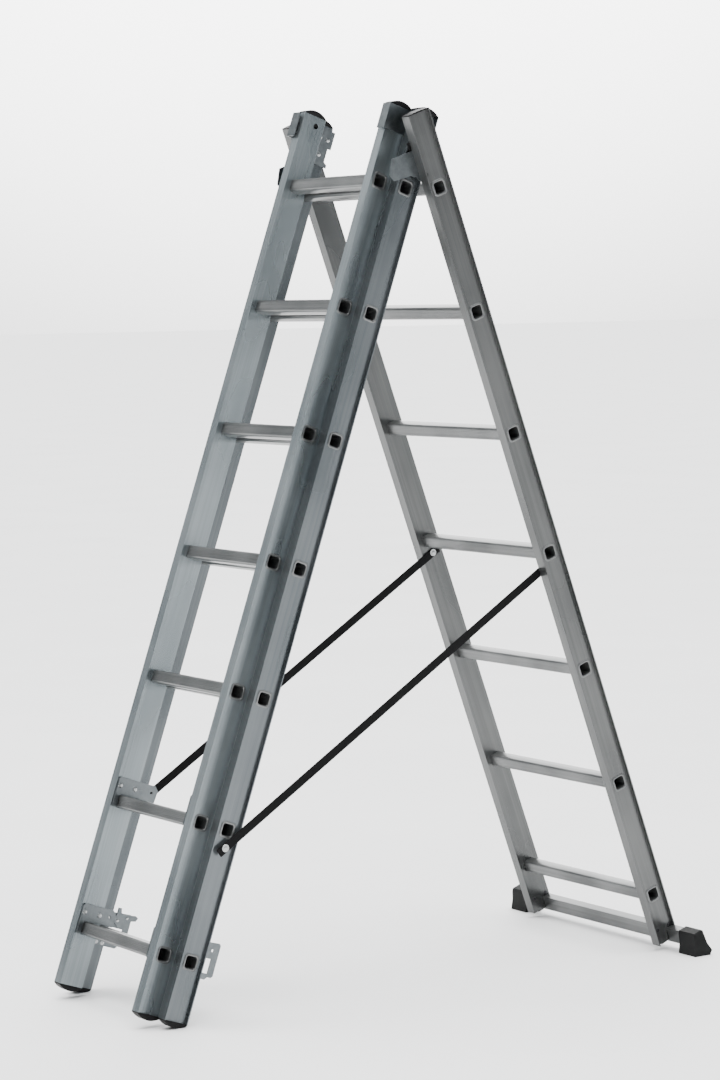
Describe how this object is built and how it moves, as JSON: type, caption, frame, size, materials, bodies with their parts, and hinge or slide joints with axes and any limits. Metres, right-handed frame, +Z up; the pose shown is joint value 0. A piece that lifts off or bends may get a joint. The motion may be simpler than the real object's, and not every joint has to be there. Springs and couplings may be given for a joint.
{
  "type": "combination extension ladder",
  "caption": "Aluminium combination ladder standing as a stepladder: nested fly and middle sections in front, hinged base section behind with stabiliser bar and stay straps.",
  "frame": {"origin": "on the floor, at the middle of the bounding box of the standing ladder", "axes": "+Z up, +X from the left stile to the right one for someone climbing the front leg, +Y from the front leg to the rear leg"},
  "size_m": [0.69, 1.388, 1.8985],
  "materials": {
    "stile_aluminium": "mill-finish extrusion, satin, with fine lines along its length",
    "rung_aluminium": "mill-finish extrusion, satin, ribbed tread",
    "bar_aluminium": "mill-finish tube, satin",
    "zinc_steel": "zinc-plated pressed steel",
    "bright_fastener": "zinc-plated, domed",
    "dark_bolts": "black oxide",
    "black_plastic": "moulded, matt",
    "foot_rubber": "moulded rubber, matt",
    "strap_webbing": "woven polyester webbing"
  },
  "bodies": {
    "middle_section": {"middle_stile_left": "stile_aluminium", "middle_stile_right": "stile_aluminium", "middle_rung_1": "rung_aluminium", "middle_rung_2": "rung_aluminium", "middle_rung_3": "rung_aluminium", "middle_rung_4": "rung_aluminium", "middle_rung_5": "rung_aluminium", "middle_rung_6": "rung_aluminium", "middle_rung_7": "rung_aluminium", "middle_top_caps": "black_plastic", "middle_foot_caps": "black_plastic", "guide_bracket_left": "zinc_steel", "guide_bracket_right": "zinc_steel", "latch_jaws": "zinc_steel", "bracket_rivets": "bright_fastener", "hinge_pins": "bright_fastener", "strap_bolts_front": "bright_fastener"},
    "fly_section": {"fly_stile_left": "stile_aluminium", "fly_stile_right": "stile_aluminium", "fly_rung_1": "rung_aluminium", "fly_rung_2": "rung_aluminium", "fly_rung_3": "rung_aluminium", "fly_rung_4": "rung_aluminium", "fly_rung_5": "rung_aluminium", "fly_rung_6": "rung_aluminium", "fly_rung_7": "rung_aluminium", "fly_top_caps": "black_plastic", "fly_foot_caps": "black_plastic", "hook_plates_upper": "zinc_steel", "hook_plates_lower": "zinc_steel", "hook_rivets": "bright_fastener"},
    "base_section": {"base_stile_left": "stile_aluminium", "base_stile_right": "stile_aluminium", "base_rung_1": "rung_aluminium", "base_rung_2": "rung_aluminium", "base_rung_3": "rung_aluminium", "base_rung_4": "rung_aluminium", "base_rung_5": "rung_aluminium", "base_rung_6": "rung_aluminium", "base_rung_7": "rung_aluminium", "base_top_caps": "black_plastic", "hinge_plate_left": "zinc_steel", "hinge_plate_right": "zinc_steel", "hinge_plate_rivets": "bright_fastener", "hinge_buffers": "black_plastic", "stabiliser_bar": "bar_aluminium", "stabiliser_foot_left": "foot_rubber", "stabiliser_foot_right": "foot_rubber", "foot_plugs": "black_plastic", "stabiliser_bolts": "dark_bolts", "strap_bolts_rear": "bright_fastener"},
    "strap_left": {"strap_left": "strap_webbing"},
    "strap_right": {"strap_right": "strap_webbing"},
    "hook_flap_upper_left": {"hook_flap_upper_left": "zinc_steel"},
    "hook_flap_upper_right": {"hook_flap_upper_right": "zinc_steel"},
    "hook_flap_lower_left": {"hook_flap_lower_left": "zinc_steel"},
    "hook_flap_lower_right": {"hook_flap_lower_right": "zinc_steel"},
    "latch_left": {"latch_left": "zinc_steel"},
    "latch_right": {"latch_right": "zinc_steel"}
  },
  "joints": [
    {"name": "base_fold", "type": "hinge", "parent": "middle_section", "child": "base_section", "pos_m": [0, 0.0132, 1.74034], "axis": [1, 0, 0], "range_deg": [-39.2, 0]},
    {"name": "fly_slide", "type": "slide", "parent": "middle_section", "child": "fly_section", "axis": [0, 0.3355, 0.9421], "range_m": [0, 1.12]},
    {"name": "strap_left_swing", "type": "hinge", "parent": "middle_section", "child": "strap_left", "pos_m": [0, -0.50159, 0.36058], "axis": [1, 0, 0], "range_deg": [0, 34.02], "deforming": ["strap_left"]},
    {"name": "strap_right_swing", "type": "hinge", "parent": "middle_section", "child": "strap_right", "pos_m": [0, -0.50159, 0.36058], "axis": [1, 0, 0], "range_deg": [0, 34.02], "deforming": ["strap_right"]},
    {"name": "hook_upper_left_turn", "type": "hinge", "parent": "fly_section", "child": "hook_flap_upper_left", "pos_m": [0, -0.50353, 0.43638], "axis": [1, 0, 0], "range_deg": [0, 115]},
    {"name": "hook_upper_right_turn", "type": "hinge", "parent": "fly_section", "child": "hook_flap_upper_right", "pos_m": [0, -0.50353, 0.43638], "axis": [1, 0, 0], "range_deg": [0, 115]},
    {"name": "hook_lower_left_turn", "type": "hinge", "parent": "fly_section", "child": "hook_flap_lower_left", "pos_m": [0, -0.59746, 0.1726], "axis": [1, 0, 0], "range_deg": [0, 115]},
    {"name": "hook_lower_right_turn", "type": "hinge", "parent": "fly_section", "child": "hook_flap_lower_right", "pos_m": [0, -0.59746, 0.1726], "axis": [1, 0, 0], "range_deg": [0, 115]},
    {"name": "latch_left_turn", "type": "hinge", "parent": "middle_section", "child": "latch_left", "pos_m": [0, -0.55673, 0.1573], "axis": [1, 0, 0], "range_deg": [0, 100]},
    {"name": "latch_right_turn", "type": "hinge", "parent": "middle_section", "child": "latch_right", "pos_m": [0, -0.55673, 0.1573], "axis": [1, 0, 0], "range_deg": [0, 100]}
  ],
  "couplings": [
    {"joint": "strap_left_swing", "follows": "base_fold", "ratio": -0.85498},
    {"joint": "strap_right_swing", "follows": "base_fold", "ratio": -0.85498}
  ]
}
